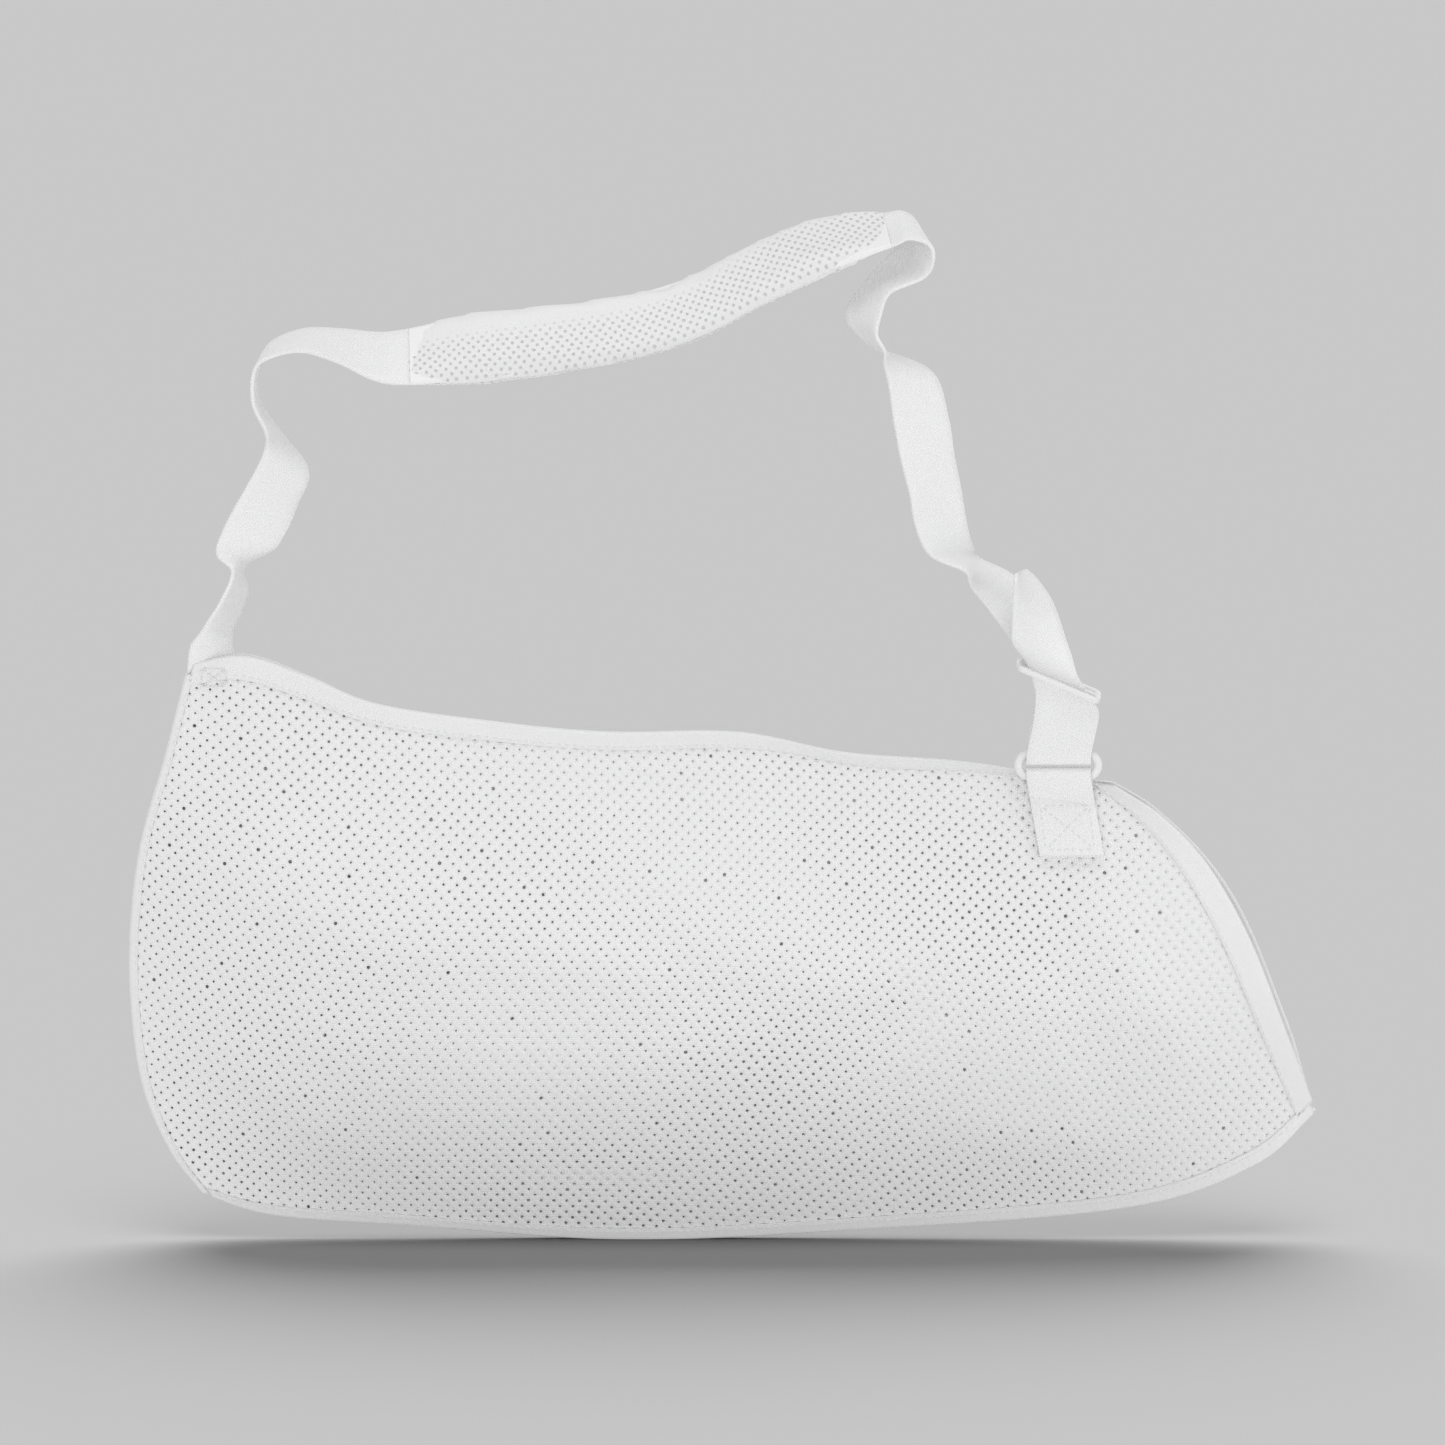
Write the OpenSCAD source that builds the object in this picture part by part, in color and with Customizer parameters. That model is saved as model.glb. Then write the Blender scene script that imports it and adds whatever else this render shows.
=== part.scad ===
// Arm sling: an open-mesh pouch for the forearm, hung from a neck strap with a sliding shoulder pad.
// X runs from the elbow end to the hand end, -Y faces away from the wearer and +Z is up.
// The origin is the neck rest, under the middle of the shoulder pad. Everything is in millimetres.

/* [Webbing] */
// Width of the strap webbing
web_w = 25; // [22:0.5:25.5]
// Thickness of the strap webbing
web_t = 1.6; // [1.2:0.1:1.8]

/* [Pouch] */
// How far the front panel stands out in front of the seams
front_depth = 38; // [20:1:45]
// How far the back panel stands out behind the seams
back_depth = 27; // [15:1:40]
// How far the back panel's top edge hangs below the front one's
back_sag = 5; // [0:0.5:6]
// Thickness of the mesh knit
knit_t = 1.6; // [1:0.1:1.8]
// Thickness of the folded tapes
tape_t = 0.8; // [0.5:0.1:0.9]
// Height of the binding along the top edges
binding_w = 6.5; // [5:0.5:8]
// Width of the hand hem at its top end
hem_top_w = 8; // [6:0.5:10]
// Width of the hand hem at its lower end
hem_low_w = 14; // [10:0.5:16]
// Width of the seam tapes along the bottom and round the elbow
seam_w = 3.5; // [3:0.5:6]

/* [Shoulder pad] */
// Width of the pad
pad_w = 33; // [32:0.5:36]
// Thickness of the pad
pad_t = 10; // [9.5:0.5:12]
// Width of the tunnel that the strap runs through
tunnel_w = 28; // [27.5:0.1:28]
// Height of the tunnel
tunnel_h = 4.6; // [4:0.1:4.8]

/* [Slider] */
// Length of the slider across the webbing
slider_l = 36; // [36:0.5:38]
// Depth of the slider over its three bars
slider_d = 18; // [17:0.5:20]
// Thickness of the slider
slider_t = 2.2; // [2:0.1:2.4]
// Length of its two windows
window_l = 31.4; // [31.2:0.1:32]
// Width of each window
window_w = 4.4; // [4:0.1:4.6]
// Width of the bar between the windows
middle_bar = 3; // [2.6:0.1:3.2]

/* [Ring] */
// Length of the oval ring
ring_l = 35; // [34:0.5:38]
// Height of the ring
ring_h = 12.2; // [12:0.2:16]
// Diameter of the ring's round section
ring_wire = 3.4; // [3:0.1:3.6]

/* [Hidden] */

fit_gap = 0.3;          // between sewn layers
seam_gap = 2.2;         // between the two panels along their seams
elbow_reach = 110;      // distance over which the panels swell out from the elbow seam
bottom_reach = 85;      // the same from the bottom seam
top_reach = 95;         // distance below the top edge over which the front panel flattens
top_share = 0.08;       // share of the front depth left at the top edge
hand_taper = 0.5;       // share of the depth lost towards the hand end
thread_r = 0.35;

// Outline of the pouch, as points [x, z] that smooth curves run through.
elbow_line = [[-177, -332], [-190, -314], [-201, -285], [-205, -241], [-201, -196], [-190, -156], [-181, -121]];
bottom_line = [[-177, -332], [-150, -340], [-98, -344], [-10, -350], [85, -346], [192, -337], [242, -320], [266, -299]];
top_line = [[-181, -121], [-160, -118], [-135, -126], [-107, -137], [-60, -144], [-16, -148], [37, -148],
            [80, -156], [130, -160], [186, -169]];
hand_line = [[266, -299], [252, -263], [238, -228], [222, -200], [204, -181], [186, -169]];

// Route of the webbing, one station a line: x, y, z of its middle, then the heading of its width
// in the XZ plane, and how far that width turns towards +Y. At 0 or 180 it faces the front.
elbow_run = [
    [-173, 0, -113, -5, 48], [-170, 0, -106, -5, 62], [-164, 1, -94, 12, 68], [-162, 1, -82, 8, 82],
    [-158, 0, -72, 0, 18], [-149, 1, -54, -22, 35], [-143, 3, -40, -29, 42], [-148, 6, -29, -20, 78],
    [-155, 8, -17, 0, 88], [-155.5, 9, -5, 45, 90], [-150.5, 9, 3.5, 78, 78], [-137, 8, 8, 88, 73],
    [-122, 6, 6, 90, 62], [-108, 4, 2, 90, 46]
];
pad_run = [
    [-97, 3, 1.5, 92, 36], [-77, 3, 4, 95, 24], [-49, 5, 7, 97, 18], [-17, 7, 11.5, 99, 20],
    [4, 8, 16, 106, 26], [22, 9, 22.5, 112, 32], [38, 10, 30.5, 114, 37], [62, 11, 41.5, 111, 44],
    [82, 12, 48.3, 107, 53], [97, 12, 52, 104, 62]
];
hand_run = [
    [103, 12, 53.5, 106, 66], [109.5, 12, 50.5, 122, 66], [108.5, 12, 44, 142, 58], [103, 11, 37, 154, 50],
    [91.5, 8, 28.6, 169, 65], [86, 5, 18.6, 180, 58], [87.5, 3, 10.7, 183, 73], [93, 1, 4.5, 180, 84],
    [104.5, 0, -5, 178, 138], [109, 0, -23.5, 183, 149], [111.5, 0, -38, 183, 147], [114.5, 0, -51, 185, 144],
    [117, 0, -65, 180, 144], [121, 1, -75, 186, 134], [129.5, 2, -81, 205, 106], [138, 2, -88, 188, 136],
    [146, -1, -98, 172, 158], [152.5, -5.5, -109, 160, 176], [158.5, -6.5, -118, 158, 180],
    [163.5, -6.5, -126, 157, 180], [166.5, -6.5, -133, 165, 180]
];
drop_run = [[166.5, -6.5, -140, 175, 180], [165, -6.5, -148, 180, 180], [163.5, -6.5, -155.3, 180, 180]];
tail_run = [
    [163.5, -13.9, -126, 157, 180], [158.5, -13.9, -118, 158, 180], [155.5, -14.5, -109, 170, 152],
    [154, -15.5, -101, 178, 138], [152.5, -16.5, -94, 180, 128], [150.5, -17.5, -87.5, 182, 114],
    [148, -18, -82, 185, 102]
];
main_run = concat(elbow_run, pad_run, hand_run, drop_run);
pad_first = len(elbow_run);
pad_last = pad_first + len(pad_run) - 1;
drop_first = len(main_run) - len(drop_run) - 1;
main_last = len(main_run) - 1;

ring_y = -10.2;
ring_bar = [163.5, ring_y, -155.3];             // middle of the ring's upper bar
ring_lower_z = -155.3 - ring_h + ring_wire;
leg_r = 3.7;                                    // from the ring bar to the middle of each webbing leg
slider_at = [163.5, ring_y, -126];
slider_lean = 23;
slider_nod = 8;
tab_r = ring_wire / 2 + 0.5 + web_t / 2;        // from the lower bar to the middle of the tab

// ---- curves ----
function unit(v) = v / norm(v);
function sum(v) = v * [for (each_one = v) 1];
function clamp(t) = min(max(t, 0), 1);
function ease(t) = let (s = clamp(t)) s * s * (3 - 2 * s);

// Smooth curve through the points p, with t from 0 at the first to 1 at the last.
function along(p, t) =
    let (
        n = len(p) - 1,
        s = t * n,
        i = min(max(floor(s), 0), n - 1),
        f = s - i,
        b = p[i],
        c = p[i + 1],
        a = i > 0 ? p[i - 1] : 2 * b - c,
        d = i < n - 1 ? p[i + 2] : 2 * c - b
    )
    b + f * ((c - a) / 2 + f * ((2 * a - 5 * b + 4 * c - d) / 2 + f * (3 * b - a - 3 * c + d) / 2));

// ---- pouch surface ----
elbow_table = [for (k = [0:60]) let (p = along(elbow_line, k / 60)) [p.y, p.x]];
bottom_table = [for (k = [0:60]) along(bottom_line, k / 60)];
top_table = [for (k = [0:60]) along(top_line, k / 60)];

// Point [x, z] of the pouch's outline patch: u from the elbow to the hand end, v from the bottom up.
function spot(u, v) =
    (1 - v) * along(bottom_line, u) + v * along(top_line, u)
    + (1 - u) * along(elbow_line, v) + u * along(hand_line, v)
    - (1 - u) * (1 - v) * bottom_line[0] - u * (1 - v) * hand_line[0]
    - (1 - u) * v * top_line[0] - u * v * top_line[len(top_line) - 1];

function swell(d, reach) = sin(90 * clamp(d / reach));

// How far a panel stands off the seam plane. side is -1 for the front and 1 for the back.
function stand(side, p) =
    let (
        full = swell(p.x - lookup(p.y, elbow_table), elbow_reach)
            * swell(p.y - lookup(p.x, bottom_table), bottom_reach)
            * (1 - hand_taper * ease((p.x - 40) / 226)),
        flat = top_share + (1 - top_share) * ease((lookup(p.x, top_table) - p.y) / top_reach)
    )
    side < 0 ? front_depth * full * flat : back_depth * full;

// How far the back panel's top edge sags below the front one's.
function sag(side, p) =
    side < 0 ? 0 : back_sag * ease((p.y + 260) / 110) * ease((p.x + 175) / 90) * ease((200 - p.x) / 60);

// Point of a panel, off millimetres out from its inner face.
function on_panel(side, u, v, off) =
    let (p = spot(u, v))
    [p.x, side * (seam_gap / 2 + stand(side, p) + off), p.y - sag(side, p)];

// ---- solids from grids of points ----
// Closed solid between two grids of points. With loop, each row of the grids closes on itself.
module slab(a, b, loop = false) {
    n = len(a);
    m = len(a[0]);
    spans = loop ? m - 1 : m - 2;
    points = [for (grid = [a, b]) for (row = grid) for (p = row) p];
    function id(s, i, j) = (s * n + i) * m + j % m;
    function quad(p, q, r, s) = [[p, q, r], [p, r, s]];
    faces = [
        for (i = [0:n - 2], j = [0:spans])
            each quad(id(0, i, j), id(0, i, j + 1), id(0, i + 1, j + 1), id(0, i + 1, j)),
        for (i = [0:n - 2], j = [0:spans])
            each quad(id(1, i, j), id(1, i + 1, j), id(1, i + 1, j + 1), id(1, i, j + 1)),
        for (j = [0:spans]) each quad(id(0, 0, j), id(1, 0, j), id(1, 0, j + 1), id(0, 0, j + 1)),
        for (j = [0:spans])
            each quad(id(0, n - 1, j), id(0, n - 1, j + 1), id(1, n - 1, j + 1), id(1, n - 1, j)),
        if (!loop) for (i = [0:n - 2]) each quad(id(0, i, 0), id(0, i + 1, 0), id(1, i + 1, 0), id(1, i, 0)),
        if (!loop) for (i = [0:n - 2])
            each quad(id(0, i, m - 1), id(1, i, m - 1), id(1, i + 1, m - 1), id(0, i + 1, m - 1))
    ];
    volume = sum([for (f = faces) points[f[0]] * cross(points[f[1]], points[f[2]])]);
    polyhedron(points, volume < 0 ? faces : [for (f = faces) [f[0], f[2], f[1]]]);
}

// Straight thread from p to q.
module thread(p, q) {
    d = q - p;
    translate(p)
        rotate([0, acos(d.z / norm(d)), atan2(d.y, d.x)])
            cylinder(h = norm(d), r = thread_r, $fn = 16);
}

// ---- webbing ----
function across(s) = [cos(s[4]) * cos(s[3]), sin(s[4]), cos(s[4]) * sin(s[3])];
function middle(run, t) = along([for (s = run) [s.x, s.y, s.z]], t);
function width_at(run, t) = unit(along([for (s = run) across(s)], t));
function normal_at(run, t) = unit(cross(middle(run, t + 0.001) - middle(run, t - 0.001), width_at(run, t)));

// Rows of points along stations first to last of a run, for a cross section of [across, out] pairs.
function rows(run, first, last, section, steps = 4) =
    let (n = len(run) - 1)
    [for (k = [first * steps:last * steps])
        let (
            t = k / steps / n,
            c = middle(run, t),
            w = width_at(run, t),
            o = normal_at(run, t)
        )
        [for (s = section) c + s[0] * w + s[1] * o]];

function flat_section(w, out) = [[-w / 2, out], [w / 2, out]];

module webbing(run, first, last, steps = 4) {
    slab(
        rows(run, first, last, flat_section(web_w, -web_t / 2), steps),
        rows(run, first, last, flat_section(web_w, web_t / 2), steps)
    );
}

// ---- pouch ----
module panel(side) {
    us = [for (k = [0:36]) k / 36];
    vs = [for (k = [0:20]) k / 20];
    slab(
        [for (u = us) [for (v = vs) on_panel(side, u, v, 0)]],
        [for (u = us) [for (v = vs) on_panel(side, u, v, knit_t)]]
    );
}

module front_panel() {
    color("white") panel(-1);
}

module back_panel() {
    color("white") panel(1);
}

top_span = 170;       // typical height of the pouch, which turns a width into a share of v
side_span = 420;      // typical length of the pouch, which turns a width into a share of u
edge_v = (fit_gap + tape_t) / top_span;
edge_u = (fit_gap + tape_t) / side_span;
near = fit_gap;
far = fit_gap + tape_t;

binding_end = 1 - (hem_top_w + 1) / side_span;

// Tape folded over a panel's top edge, from u = start to the hand hem.
module top_binding(side, start) {
    low = 1 - binding_w / top_span;
    us = [for (k = [0:36]) start + (binding_end - start) * k / 36];
    slab(
        [for (u = us) [
            on_panel(side, u, low, knit_t + near), on_panel(side, u, 1 + edge_v / 4, knit_t + near),
            on_panel(side, u, 1 + edge_v / 4, -near), on_panel(side, u, low, -near)
        ]],
        [for (u = us) [
            on_panel(side, u, low, knit_t + far), on_panel(side, u, 1 + edge_v, knit_t + far),
            on_panel(side, u, 1 + edge_v, -far), on_panel(side, u, low, -far)
        ]]
    );
}

module front_top_binding() {
    color("whitesmoke") top_binding(-1, 0.09);
}

module back_top_binding() {
    color("whitesmoke") top_binding(1, 0.05);
}

hem_low_v = 0.04;
hem_high_v = 1 + edge_v;
function hem_share(v) = (hem_low_w + (hem_top_w - hem_low_w) * v) / side_span;

// Tape folded over a panel's sloped hand edge.
module hand_hem(side) {
    vs = [for (k = [0:14]) hem_low_v + (hem_high_v - hem_low_v) * k / 14];
    slab(
        [for (v = vs) [
            on_panel(side, 1 - hem_share(v), v, knit_t + near), on_panel(side, 1 + edge_u / 4, v, knit_t + near),
            on_panel(side, 1 + edge_u / 4, v, -near), on_panel(side, 1 - hem_share(v), v, -near)
        ]],
        [for (v = vs) [
            on_panel(side, 1 - hem_share(v), v, knit_t + far), on_panel(side, 1 + edge_u, v, knit_t + far),
            on_panel(side, 1 + edge_u, v, -far), on_panel(side, 1 - hem_share(v), v, -far)
        ]]
    );
}

module front_hand_hem() {
    color("whitesmoke") hand_hem(-1);
}

module back_hand_hem() {
    color("whitesmoke") hand_hem(1);
}

seam_v = seam_w / top_span;
seam_u = seam_w / side_span;

// Tape folded round both panels along the bottom.
module bottom_seam_tape() {
    us = [for (k = [0:36]) seam_u + 0.003 + (1 + edge_u - seam_u - 0.003) * k / 36];
    color("whitesmoke") slab(
        [for (u = us) [
            on_panel(-1, u, seam_v, knit_t + near), on_panel(-1, u, -edge_v / 4, knit_t + near),
            on_panel(1, u, -edge_v / 4, knit_t + near), on_panel(1, u, seam_v, knit_t + near)
        ]],
        [for (u = us) [
            on_panel(-1, u, seam_v, knit_t + far), on_panel(-1, u, -edge_v, knit_t + far),
            on_panel(1, u, -edge_v, knit_t + far), on_panel(1, u, seam_v, knit_t + far)
        ]]
    );
}

// Tape folded round both panels up the elbow end.
module elbow_seam_tape() {
    vs = [for (k = [0:24]) -edge_v + (0.99 + edge_v) * k / 24];
    color("whitesmoke") slab(
        [for (v = vs) [
            on_panel(-1, seam_u, v, knit_t + near), on_panel(-1, -edge_u / 4, v, knit_t + near),
            on_panel(1, -edge_u / 4, v, knit_t + near), on_panel(1, seam_u, v, knit_t + near)
        ]],
        [for (v = vs) [
            on_panel(-1, seam_u, v, knit_t + far), on_panel(-1, -edge_u, v, knit_t + far),
            on_panel(1, -edge_u, v, knit_t + far), on_panel(1, seam_u, v, knit_t + far)
        ]]
    );
}

// End of the neck strap, pleated to two thirds of its width and sewn in between the panels.
module strap_sewn_end() {
    color("whitesmoke")
        translate([-172.5, 0, -127])
            rotate([0, -3, 0])
                cube([16, web_t, 18], center = true);
}

// ---- neck strap ----
module neck_strap_elbow_side() {
    color("white") webbing(main_run, 0, pad_first);
}

module neck_strap_in_pad() {
    color("white") webbing(main_run, pad_first, pad_last, 2);
}

module neck_strap_hand_side() {
    color("white") webbing(main_run, pad_last, drop_first);
}

// Rows of the U turn under the ring's upper bar, from the rear leg to the front leg.
function turn_rows(out) = [for (k = [0:8])
    let (
        a = k * 22.5,
        r = leg_r + out
    )
    [for (x = [web_w / 2, -web_w / 2]) ring_bar + [x, r * cos(a), -r * sin(a)]]];

// Rows of the doubled drop between the slider and the ring, on one leg of it.
function leg_rows(leg_y, out) = [for (k = [0:8])
    let (
        t = (drop_first + (main_last - drop_first) * k / 8) / main_last,
        c = middle(main_run, t),
        w = width_at(main_run, t)
    )
    [for (x = [web_w / 2, -web_w / 2]) [c.x, leg_y + out, c.z] + x * w]];

module adjuster_loop() {
    rear = ring_y + leg_r;
    front = ring_y - leg_r;
    down = [for (out = [-web_t / 2, web_t / 2]) [for (k = [0:7]) leg_rows(rear, out)[k]]];
    up = [for (out = [-web_t / 2, web_t / 2]) [for (k = [7:-1:0]) leg_rows(front, -out)[k]]];
    color("white") slab(
        concat(down[0], turn_rows(-web_t / 2), up[0]),
        concat(down[1], turn_rows(web_t / 2), up[1])
    );
}

module strap_tail() {
    lower = [drop_first_station[0], ring_y - leg_r, drop_first_station[2], drop_first_station[3], 180];
    color("white") webbing(concat([lower], tail_run), 0, len(tail_run));
}
drop_first_station = main_run[drop_first];

// ---- shoulder pad ----
// Flat oval cross section, w wide and h high, with round edges.
function oval(w, h) = [for (k = [0:15])
    let (
        a = 11.25 + k * 22.5,
        c = cos(a),
        s = sin(a),
        run = (w - h) / 2
    )
    [h / 2 * c + (c > 0 ? run : -run), h / 2 * s]];

// Tube along the pad between two ovals.
module pad_tube(outer, inner) {
    slab(
        rows(main_run, pad_first, pad_last, oval(outer[0], outer[1]), 2),
        rows(main_run, pad_first, pad_last, oval(inner[0], inner[1]), 2),
        loop = true
    );
}

cover_t = 1;
lining_t = 0.5;
layer_gap = 0.1;

module pad_cover() {
    color("white") pad_tube([pad_w, pad_t], [pad_w - 2 * cover_t, pad_t - 2 * cover_t]);
}

module pad_foam() {
    skin = 2 * (cover_t + layer_gap);
    core = 2 * (lining_t + layer_gap);
    color("lightgrey") pad_tube([pad_w - skin, pad_t - skin], [tunnel_w + core, tunnel_h + core]);
}

module pad_lining() {
    color("whitesmoke") pad_tube([tunnel_w + 2 * lining_t, tunnel_h + 2 * lining_t], [tunnel_w, tunnel_h]);
}

// ---- slider ----
module rounded(l, w, r) {
    square([l - 2 * r, w], center = true);
    square([l, w - 2 * r], center = true);
    for (x = [-1, 1], y = [-1, 1])
        translate([x * (l / 2 - r), y * (w / 2 - r)]) circle(r = r, $fn = 32);
}

module slider() {
    color("white")
        translate(slider_at)
            rotate([0, slider_lean, 0])
                rotate([slider_nod, 0, 0])
                    linear_extrude(slider_t, center = true)
                        difference() {
                            rounded(slider_l, slider_d, 3);
                            for (y = [-1, 1])
                                translate([0, y * (middle_bar + window_w) / 2])
                                    rounded(window_l, window_w, 1);
                        }
}

// ---- ring ----
module ring() {
    bend = (ring_h - ring_wire) / 2;
    straight = ring_l - ring_h;
    color("white")
        translate(ring_bar - [0, 0, bend])
            rotate([90, 0, 0]) {
                for (s = [-1, 1]) {
                    translate([0, s * bend, 0])
                        rotate([0, 90, 0])
                            cylinder(h = straight, d = ring_wire, center = true, $fn = 32);
                    translate([s * straight / 2, 0, 0])
                        rotate([0, 0, -s * 90])
                            rotate_extrude(angle = 180, $fn = 48)
                                translate([bend, 0]) circle(d = ring_wire, $fn = 24);
                }
            }
}

// ---- ring tab ----
tab_top = [163.5, ring_lower_z];
tab_foot = [169, -196];
tab_steps = 8;

// Middle [x, z] of the tab's leg, at t from 0 under the ring to 1 at its foot.
function tab_spot(t) = tab_top + (tab_foot - tab_top) * t;

// Face of the front panel or of its binding at [x, z].
function panel_face(x, z) =
    let (bound = z > lookup(x, top_table) - binding_w - 1)
    -(seam_gap / 2 + stand(-1, [x, z]) + knit_t + (bound ? far : 0));

// y of the tab's layer, layer 0 being the one against the panel, swinging in from the loop round the bar.
function tab_y(x, z, t, layer) =
    let (
        face = panel_face(x, min(z, lookup(x, top_table))) - 0.4 - web_t / 2 - layer * (web_t + 0.2),
        loop_y = ring_y + (layer == 0 ? tab_r : -tab_r),
        settle = ease(t / 0.35)
    )
    loop_y + (face - loop_y) * settle;

function tab_row(t, layer, out) =
    let (c = tab_spot(t))
    [for (x = [-web_w / 2, web_w / 2]) [c.x + x, tab_y(c.x + x, c.y, t, layer) + out, c.y]];

module ring_tab() {
    loop = function (out) [for (k = [0:8])
        let (
            a = k * 22.5,
            r = tab_r + out
        )
        [for (x = [-web_w / 2, web_w / 2])
            [tab_top.x + x, ring_y + r * cos(a), ring_lower_z + r * sin(a)]]];
    back = function (out) [for (k = [tab_steps:-1:1]) tab_row(k / tab_steps, 0, out)];
    front = function (out) [for (k = [1:tab_steps]) tab_row(k / tab_steps, 1, -out)];
    color("white") slab(
        concat(back(-web_t / 2), loop(-web_t / 2), front(-web_t / 2)),
        concat(back(web_t / 2), loop(web_t / 2), front(web_t / 2))
    );
}

// ---- stitching ----
stitch = 3;
pitch = 6;

// Row of stitches on a panel's outside from [u, v] at a to [u, v] at b, off out from its inner face.
module stitch_row(side, a, b, off) {
    reach = spot(b[0], b[1]) - spot(a[0], a[1]);
    count = floor(norm(reach) / pitch);
    for (k = [0:count - 1]) {
        s = a + (b - a) * (k + 0.25) / count;
        e = a + (b - a) * (k + 0.25 + stitch / pitch) / count;
        thread(on_panel(side, s[0], s[1], off), on_panel(side, e[0], e[1], off));
    }
}

on_tape = knit_t + far + thread_r + 0.1;

module binding_stitches(side, start, end) {
    v = 1 - (binding_w - 1.2) / top_span;
    color("gainsboro") for (k = [0:3])
        stitch_row(
            side,
            [start + (end - start) * k / 4, v],
            [start + (end - start) * (k + 1) / 4, v],
            on_tape + 0.2
        );
}

module front_binding_stitches() {
    binding_stitches(-1, 0.1, 0.915);
}

module back_binding_stitches() {
    binding_stitches(1, 0.06, binding_end - 0.005);
}

module hem_stitches(side) {
    color("gainsboro") for (k = [0:2]) {
        lo = hem_low_v + 0.01 + (hem_high_v - hem_low_v - 0.03) * k / 3;
        hi = hem_low_v + 0.01 + (hem_high_v - hem_low_v - 0.03) * (k + 1) / 3;
        stitch_row(side, [1 - hem_share(lo) * 0.85, lo], [1 - hem_share(hi) * 0.85, hi], on_tape + 0.3);
    }
}

module front_hem_stitches() {
    hem_stitches(-1);
}

module back_hem_stitches() {
    hem_stitches(1);
}

module bottom_seam_stitches() {
    v = seam_v * 0.6;
    color("gainsboro") for (k = [0:4])
        stitch_row(-1, [0.03 + 0.19 * k, v], [0.03 + 0.19 * (k + 1), v], on_tape + 0.5);
}

module elbow_seam_stitches() {
    u = seam_u * 0.6;
    color("gainsboro") for (k = [0:2])
        stitch_row(-1, [u, 0.02 + 0.31 * k], [u, 0.02 + 0.31 * (k + 1)], on_tape + 0.5);
}

// Box of stitches with a cross in it.
module box_tack(low, high, y) {
    corners = [[low.x, low.y], [high.x, low.y], [high.x, high.y], [low.x, high.y]];
    legs = [[0, 1], [1, 2], [2, 3], [3, 0], [0, 2], [1, 3]];
    for (k = [0:len(legs) - 1]) {
        p = corners[legs[k][0]];
        q = corners[legs[k][1]];
        lift = k > 3 ? (k - 3) * 0.8 : 0;
        inset = unit(q - p) * 0.8;
        thread([p.x + inset.x, y - lift, p.y + inset.y], [q.x - inset.x, y - lift, q.y - inset.y]);
    }
}

module corner_tack() {
    low = [-176, -129];
    high = [-167, -122];
    y = panel_face(high.x, low.y) - thread_r - 0.8;
    color("gainsboro") box_tack(low, high, y);
}

module tab_stitches() {
    low = [158, -190];
    high = [176, -182];
    y = min(tab_y(high.x, low.y, 1, 1), tab_y(low.x, low.y, 1, 1), tab_y(low.x, high.y, 1, 1))
        - web_t / 2 - thread_r - 0.9;
    color("gainsboro") box_tack(low, high, y);
}

// Seam that closes the pad's cover along its lower edge.
module pad_seam_stitches() {
    n = main_last;
    count = 30;
    edge = -pad_w / 2 - thread_r - 0.1;
    function at(s) = let (t = (pad_first + (pad_last - pad_first) * s) / n)
        middle(main_run, t) + edge * width_at(main_run, t);
    color("gainsboro") for (k = [0:count - 1])
        thread(at((k + 0.25) / count), at((k + 0.75) / count));
}

// Two rows of stitches across the strap's free end.
module tail_end_stitches() {
    run = tail_run;
    color("gainsboro") for (t = [0.93, 0.97]) {
        c = middle(run, t) + (web_t / 2 + thread_r + 0.5) * normal_at(run, t);
        w = width_at(run, t);
        for (k = [-2:1])
            thread(c + (k * 5 + 1) * w, c + (k * 5 + 4) * w);
    }
}

front_panel();
back_panel();
front_top_binding();
back_top_binding();
front_hand_hem();
back_hand_hem();
bottom_seam_tape();
elbow_seam_tape();
strap_sewn_end();
neck_strap_elbow_side();
neck_strap_in_pad();
neck_strap_hand_side();
adjuster_loop();
strap_tail();
pad_cover();
pad_foam();
pad_lining();
slider();
ring();
ring_tab();
corner_tack();
tab_stitches();
front_binding_stitches();
back_binding_stitches();
front_hem_stitches();
back_hem_stitches();
bottom_seam_stitches();
elbow_seam_stitches();
pad_seam_stitches();
tail_end_stitches();
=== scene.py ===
"""An arm sling: an open-mesh pouch hung from a webbing neck strap with a padded sleeve."""
import math
import random
import bmesh
import bpy
import numpy as np
from mathutils import Matrix, Vector


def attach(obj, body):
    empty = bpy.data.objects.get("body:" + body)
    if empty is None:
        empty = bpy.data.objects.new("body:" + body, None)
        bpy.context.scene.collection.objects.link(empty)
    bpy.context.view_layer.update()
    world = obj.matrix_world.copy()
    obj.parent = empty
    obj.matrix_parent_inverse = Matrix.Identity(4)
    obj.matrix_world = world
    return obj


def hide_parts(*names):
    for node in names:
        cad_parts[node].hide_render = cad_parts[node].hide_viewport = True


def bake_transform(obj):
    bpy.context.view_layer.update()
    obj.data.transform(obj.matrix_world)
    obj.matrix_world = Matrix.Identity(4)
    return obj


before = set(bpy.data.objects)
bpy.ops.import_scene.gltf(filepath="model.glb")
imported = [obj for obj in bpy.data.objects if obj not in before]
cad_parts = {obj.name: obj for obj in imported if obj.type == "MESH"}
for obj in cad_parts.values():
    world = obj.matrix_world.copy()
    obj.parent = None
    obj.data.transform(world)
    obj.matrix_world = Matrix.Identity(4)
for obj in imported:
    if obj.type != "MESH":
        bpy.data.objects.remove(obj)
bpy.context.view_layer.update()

MM = 0.001

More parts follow.
